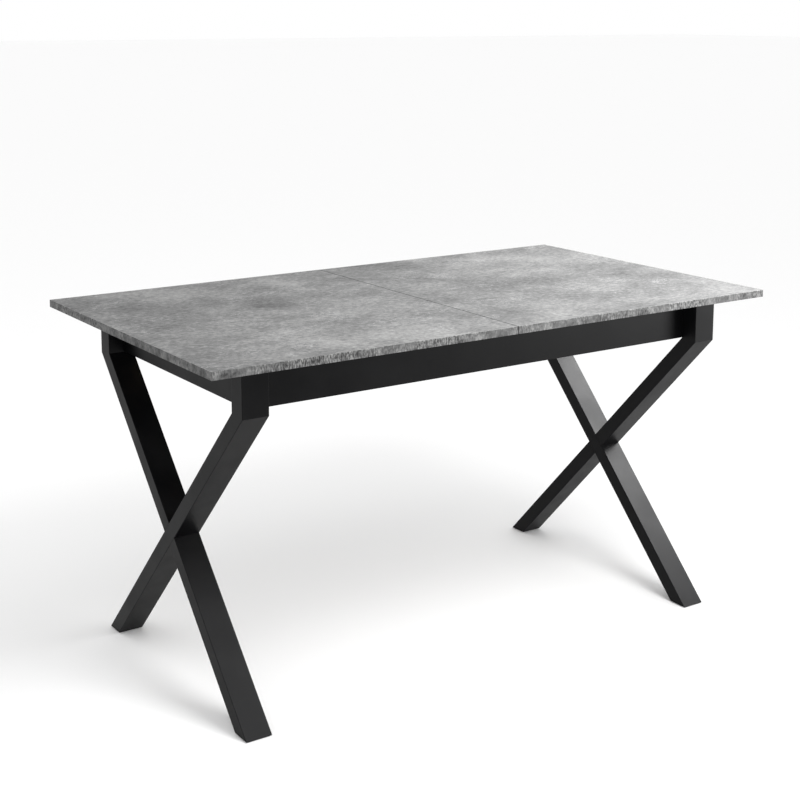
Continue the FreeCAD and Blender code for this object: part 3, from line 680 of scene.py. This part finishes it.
@dataclass
class Screws:
    """Cross-recessed zinc screws: pan heads on the brackets, sunk heads in the slides and latches.

    Args:
        head_radius: The head's radius.
        head_height: The head's height.
        shank_radius: The shank's radius under the head.
        slot_width: The width of one arm of the cross.
        proud: How far a sunk head stands out, so that its face and the wood's aren't in one plane.
        crown: How much of its height a pan head's rim drops.
        arm_share: How long an arm of the cross is, in head radii.
        pan_bite: The height of the tool that cuts a pan head's cross, in head heights.
        sunk_bite: The height of the tool that cuts a sunk head's cross, in units of proud.
        shank_start: Where the shank starts, in head heights.
        tip_share: How thick the tip is, in shank radii.
        batches: The screws of each body.
    """

    head_radius: float = 4.0 * MM
    head_height: float = 2.5 * MM
    shank_radius: float = 2.0 * MM
    slot_width: float = 1.0 * MM
    proud: float = 0.2 * MM
    crown: float = 0.4
    arm_share: float = 1.15
    pan_bite: float = 1.2
    sunk_bite: float = 1.5
    shank_start: float = 0.75
    tip_share: float = 0.25
    batches: dict[str, tuple[str, ...]] = field(default_factory=lambda: {
        "base": ("corner_block_screws", "bearer_screws", "channel_screws"),
        "left_half": ("left_bracket_screws", "left_batten_screws", "latch_screws"),
        "right_half": ("right_bracket_screws", "right_batten_screws", "catch_screws"),
    })

    def tree(self) -> GrownPart:
        """Builds the tree that grows a screw on each point.

        Returns:
            The closed tree.
        """
        part = GrownPart("cross_recessed_screws", {
            "Head Radius": self.head_radius, "Head Height": self.head_height,
            "Shank Radius": self.shank_radius, "Slot Width": self.slot_width})
        tree, given = part.tree, part.given
        radius, height, shank = given["Head Radius"], given["Head Height"], given["Shank Radius"]
        axis = add(tree, "GeometryNodeInputNamedAttribute", {"Name": "axis"},
                   data_type="FLOAT_VECTOR").outputs[0]
        reach = add(tree, "GeometryNodeInputNamedAttribute", {"Name": "reach"}).outputs[0]
        pan = add(tree, "GeometryNodeInputNamedAttribute", {"Name": "pan"}).outputs[0]
        turned = add(tree, "FunctionNodeAlignRotationToVector", {"Vector": axis}, axis="Z").outputs[0]

        block = add(tree, "GeometryNodeMeshCylinder", {"Vertices": 24, "Fill Segments": 4, "Radius": radius,
                                                       "Depth": height}).outputs["Mesh"]
        half = part.math("MULTIPLY", height, 0.5)
        lift = add(tree, "ShaderNodeCombineXYZ", {"Z": half}).outputs[0]
        raised = add(tree, "GeometryNodeTransform", {"Geometry": block, "Translation": lift}).outputs[0]
        spot = add(tree, "ShaderNodeSeparateXYZ",
                   {0: tree.nodes.new("GeometryNodeInputPosition").outputs[0]}).outputs
        across = part.math("ADD", part.math("MULTIPLY", spot["X"], spot["X"]),
                           part.math("MULTIPLY", spot["Y"], spot["Y"]))
        share = part.math("DIVIDE", across, part.math("MULTIPLY", radius, radius))
        depth = part.math("SUBTRACT", height, spot["Z"])
        crown = part.math("MULTIPLY", part.math("MULTIPLY", share, depth), self.crown)
        drop = add(tree, "ShaderNodeCombineXYZ", {"Z": crown}).outputs[0]
        domed = add(tree, "GeometryNodeSetPosition", {"Geometry": raised, "Offset": drop}).outputs[0]
        cone = add(tree, "GeometryNodeMeshCone", {"Vertices": 24, "Radius Bottom": radius,
                                                  "Radius Top": shank, "Depth": height}).outputs["Mesh"]
        sunk = add(tree, "GeometryNodeTransform", {"Geometry": cone,
                                                   "Translation": (0.0, 0.0, -self.proud)}).outputs[0]
        arm = part.math("MULTIPLY", radius, self.arm_share)
        heads = []
        # A sunk head's cross is shallow, because its floor has to stay above the wood, which has no hole.
        for head, chosen, face, deep in (
                (domed, pan, 0.0, part.math("MULTIPLY", height, self.pan_bite)),
                (sunk, part.math("SUBTRACT", 1.0, pan), -self.proud, self.sunk_bite * self.proud)):
            cut = add(tree, "GeometryNodeMeshBoolean", {"Mesh 1": head}, operation="DIFFERENCE")
            for order in (("X", "Y"), ("Y", "X")):
                size = add(tree, "ShaderNodeCombineXYZ",
                           {order[0]: given["Slot Width"], order[1]: arm, "Z": deep}).outputs[0]
                one = add(tree, "GeometryNodeMeshCube", {"Size": size}).outputs["Mesh"]
                placed = add(tree, "GeometryNodeTransform", {"Geometry": one,
                                                             "Translation": (0.0, 0.0, face)}).outputs[0]
                tree.links.new(placed, cut.inputs["Mesh 2"])
            picked = add(tree, "FunctionNodeCompare", {"A": chosen, "B": 0.5}).outputs[0]
            heads.append(add(tree, "GeometryNodeInstanceOnPoints",
                             {"Points": given["Geometry"], "Selection": picked, "Instance": cut.outputs[0],
                              "Rotation": turned}).outputs[0])
        buried = part.math("MULTIPLY", height, self.shank_start)
        along = add(tree, "ShaderNodeVectorMath", {0: axis, "Scale": buried}, operation="SCALE").outputs[0]
        starts = add(tree, "GeometryNodeSetPosition", {"Geometry": given["Geometry"],
                                                       "Offset": along}).outputs[0]
        spike = add(tree, "GeometryNodeMeshCone", {"Vertices": 12, "Radius Bottom": shank,
                                                   "Radius Top": part.math("MULTIPLY", shank,
                                                                           self.tip_share),
                                                   "Depth": 1.0}).outputs["Mesh"]
        long = add(tree, "ShaderNodeCombineXYZ",
                   {"X": 1.0, "Y": 1.0, "Z": part.math("SUBTRACT", reach, buried)}).outputs[0]
        shanks = add(tree, "GeometryNodeInstanceOnPoints", {"Points": starts, "Instance": spike,
                                                            "Rotation": turned, "Scale": long}).outputs[0]
        part.close(heads + [shanks], ZINC)
        return part

    def build(self) -> None:
        """Grows one mesh of screws for each body."""
        part = self.tree()
        for body, nodes in self.batches.items():
            found = [read_screw(points) for node in nodes for points in solids_of(node)]
            marks = {"axis": [f.axis for f in found], "reach": [f.reach for f in found],
                     "pan": [float(f.pan) for f in found]}
            part.grow(f"{body}_screws", body, [f.at for f in found], marks, nodes, "zinc_steel")


@dataclass
class BallCages:
    """The rolling part of each slide: a pressed cage strip and its polished balls."""

    sides: tuple[str, str] = ("left", "right")
    faces: tuple[str, str] = ("front", "back")

    def build(self) -> None:
        """Grows the balls of each side's cages, and makes the strips round them."""
        part = GrownPart("bearing_balls", {"Ball Radius": self.ball_radius()})
        ball = add(part.tree, "GeometryNodeMeshIcoSphere", {"Radius": part.given["Ball Radius"],
                                                            "Subdivisions": 3}).outputs["Mesh"]
        smooth = add(part.tree, "GeometryNodeSetShadeSmooth", {"Geometry": ball}).outputs[0]
        placed = add(part.tree, "GeometryNodeInstanceOnPoints", {"Points": part.given["Geometry"],
                                                                 "Instance": smooth}).outputs[0]
        part.close([placed], BALL_STEEL)
        for side in self.sides:
            nodes = [f"{side}_{face}_ball_cage" for face in self.faces]
            centres = [sum(corners(points), Vector()) / 2 for node in nodes for points in self.balls(node)]
            part.grow(f"{side}_bearing_balls", f"{side}_ball_cages", centres, {}, nodes, "zinc_steel")
            for node in nodes:
                self.strip(node, f"{side}_ball_cages")

    @staticmethod
    def balls(node: str) -> list[list[Vector]]:
        """Picks the ball solids of a cage: all but the longest one.

        Args:
            node: The cage's name in the frame.

        Returns:
            The points of each ball.
        """
        solids = solids_of(node)
        solids.sort(key=lambda points: (corners(points)[1] - corners(points)[0]).length)
        return solids[:-1]

    def ball_radius(self) -> float:
        """Measures a ball in the frame."""
        low, high = corners(self.balls(f"{self.sides[0]}_{self.faces[0]}_ball_cage")[0])
        return max(high - low) / 2

    @staticmethod
    def strip(node: str, body: str) -> None:
        """Copies the cage's strip without its balls.

        Args:
            node: The cage's name in the frame.
            body: The body that it moves with.
        """
        shape = bmesh.new()
        shape.from_mesh(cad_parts[node].data)
        bmesh.ops.remove_doubles(shape, verts=shape.verts, dist=WELD)
        low, high = corners([v.co for v in shape.verts])
        keep: set[bmesh.types.BMVert] = set()
        waiting = [min(shape.verts, key=lambda v: v.co.x)]
        while waiting:
            vertex = waiting.pop()
            if vertex not in keep:
                keep.add(vertex)
                waiting += [edge.other_vert(vertex) for edge in vertex.link_edges]
        bmesh.ops.delete(shape, geom=[v for v in shape.verts if v not in keep], context="VERTS")
        bmesh.ops.recalc_face_normals(shape, faces=shape.faces)
        name = node.replace("ball_cage", "cage_strip")
        mesh = bpy.data.meshes.new(name)
        shape.to_mesh(mesh)
        shape.free()
        strip = bpy.data.objects.new(name, mesh)
        bpy.context.scene.collection.objects.link(strip)
        mesh.materials.append(ZINC.material())
        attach(strip, body)
        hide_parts(node)
        LOG.info("%s: %d faces, %.0f mm long", name, len(mesh.polygons), (high.x - low.x) / MM)


@dataclass
class TopHalf:
    """One sliding half of the top, with what is fixed under it.

    Args:
        side: Which half: left or right.
    """

    side: str

    def dress(self) -> None:
        """Dresses the board, its edge band, its batten, its brackets and its slide bars."""
        dress(f"top_{self.side}", LAMINATE)
        dress(f"top_{self.side}_edge_band", EDGE)
        dress(f"{self.side}_top_batten", BEECH_Y)
        dress(f"{self.side}_slide_brackets", ZINC)
        for face in ("front", "back"):
            dress(f"{self.side}_{face}_slide_bar", ZINC)


@dataclass
class Underframe:
    """The black frame: crossed legs, aprons, corner blocks, glides and the leaf's bearers."""

    ends: tuple[str, str] = ("left", "right")
    faces: tuple[str, str] = ("front", "back")

    def dress(self) -> None:
        """Dresses every fixed piece of the frame."""
        for end in self.ends:
            dress(f"{end}_apron", LACQUER)
            dress(f"{end}_leaf_bearer", BEECH_Y)
            for face in self.faces:
                dress(f"{end}_{face}_leg", LACQUER)
                dress(f"{end}_{face}_corner_block", BEECH_X)
                dress(f"{end}_{face}_slide_channel", ZINC)
        for face in self.faces:
            dress(f"{face}_apron", LACQUER)
        dress("bearer_angles", ZINC)
        dress("leg_dowels", BEECH_Y)
        dress("apron_glide_strips", NYLON)
        dress("foot_glides", BLACK_PLASTIC)
        dress("slide_buffers", RUBBER)


@dataclass
class StoredLeaf:
    """The loose leaf that waits under the top."""

    def dress(self) -> None:
        """Dresses the leaf, its dowels and the pads it lies on."""
        dress("leaf", LEAF_LAMINATE)
        dress("leaf_edge_bands", LEAF_EDGE)
        dress("leaf_dowels", BEECH_Y)
        dress("leaf_rest_pads", FELT)


@dataclass
class SeamHardware:
    """The dowels and latches that hold the two halves in line."""

    def dress(self) -> None:
        """Dresses the dowels, plates, levers, rivets and catches."""
        dress("alignment_dowels", BEECH_X)
        for face in ("front", "back"):
            for piece in ("latch_plate", "latch_lever", "latch_catch"):
                dress(f"{face}_{piece}", ZINC)
        dress("latch_rivets", ZINC)


@dataclass
class Studio:
    """A pale floor, soft light and the camera.

    Args:
        camera_at: Where the camera stands, in metres.
        yaw: How far it looks to the right of +Y, in degrees.
        pitch: How far it looks down, in degrees.
        roll: How far it leans, in degrees.
        focal_mm: The lens on a 36 mm sensor.
        shift: The vertical lens shift, as a share of the frame.
        floor_size: Half the floor's width, in metres.
        unlit: The collection that keeps the floor out of two lights.
    """

    camera_at: Vector = field(default_factory=lambda: Vector((-1.8283, -2.6536, 1.3855)))
    yaw: float = 34.02
    pitch: float = 9.31
    roll: float = 0.13
    focal_mm: float = 65.97
    shift: float = -0.1875
    floor_size: float = 60.0
    unlit: bpy.types.Collection | None = None

    def floor(self) -> None:
        """Lays a wide pale floor under the feet."""
        mesh = bpy.data.meshes.new("floor")
        shape = bmesh.new()
        bmesh.ops.create_grid(shape, x_segments=1, y_segments=1, size=self.floor_size)
        shape.to_mesh(mesh)
        shape.free()
        floor = bpy.data.objects.new("floor", mesh)
        bpy.context.scene.collection.objects.link(floor)
        paint = bpy.data.materials.new("pale_floor")
        paint.use_nodes = True
        shader = paint.node_tree.nodes["Principled BSDF"]
        shader.inputs["Base Color"].default_value = linear("#fbfbfb")
        shader.inputs["Roughness"].default_value = 0.9
        shader.inputs["Specular IOR Level"].default_value = 0.1
        mesh.materials.append(paint)
        self.unlit = bpy.data.collections.new("away_from_the_softboxes")
        self.unlit.objects.link(floor)
        self.unlit.collection_objects[0].light_linking.link_state = "EXCLUDE"

    def softbox(self, name: str, at: tuple, aim: tuple, size: tuple, power: float, on_floor: bool) -> None:
        """Hangs one rectangular light.

        Args:
            name: The light's name.
            at: Where it hangs.
            aim: The point it faces.
            size: Its width and height, in metres.
            power: Its power, in watts.
            on_floor: Whether it lights the floor too.
        """
        data = bpy.data.lights.new(name, "AREA")
        data.shape = "RECTANGLE"
        data.size, data.size_y = size
        data.energy = power
        light = bpy.data.objects.new(name, data)
        light.location = at
        light.rotation_euler = (Vector(aim) - Vector(at)).to_track_quat("-Z", "Y").to_euler()
        light.visible_camera = False
        if not on_floor:
            light.light_linking.receiver_collection = self.unlit
        bpy.context.scene.collection.objects.link(light)

    def lights(self) -> None:
        """Sets the key light and a fill at the right, a weak fill in front and the room's glow.

        Two of them leave the floor out, so that it stays evenly pale.
        """
        self.softbox("key", at=(1.95, -0.5, 2.0), aim=(0.9, -0.2, 0.5), size=(1.1, 1.3),
                     power=200.0, on_floor=False)
        self.softbox("front_fill", at=(0.3, -1.5, 2.1), aim=(-0.2, -0.6, 0.4), size=(1.2, 0.9),
                     power=38.0, on_floor=True)
        self.softbox("side_fill", at=(2.2, -2.1, 0.75), aim=(0.5, -0.3, 0.7), size=(1.4, 1.1),
                     power=54.0, on_floor=False)
        world = bpy.data.worlds.new("room")
        world.use_nodes = True
        glow = world.node_tree.nodes["Background"]
        glow.inputs["Color"].default_value = linear("#ffffff")
        glow.inputs["Strength"].default_value = 1.0
        bpy.context.scene.world = world
        bpy.context.scene.view_settings.view_transform = "Standard"

    def camera(self) -> None:
        """Sets the camera at the viewing angle."""
        data = bpy.data.cameras.new("camera")
        data.lens = self.focal_mm
        data.shift_y = self.shift
        camera = bpy.data.objects.new("camera", data)
        yaw, pitch, roll = (math.radians(a) for a in (self.yaw, self.pitch, self.roll))
        turn = (Matrix.Rotation(-yaw, 4, "Z") @ Matrix.Rotation(math.pi / 2 - pitch, 4, "X")
                @ Matrix.Rotation(roll, 4, "Z"))
        camera.matrix_world = Matrix.Translation(self.camera_at) @ turn
        bpy.context.scene.collection.objects.link(camera)
        bpy.context.scene.camera = camera


def main() -> None:
    """Builds the table's looks and the studio, in order."""
    logging.basicConfig(level=logging.INFO, format="%(name)s: %(message)s")
    for side in ("left", "right"):
        TopHalf(side).dress()
    Underframe().dress()
    StoredLeaf().dress()
    SeamHardware().dress()
    Screws().build()
    BallCages().build()
    studio = Studio()
    studio.floor()
    studio.lights()
    studio.camera()


if __name__ == "__main__":
    main()
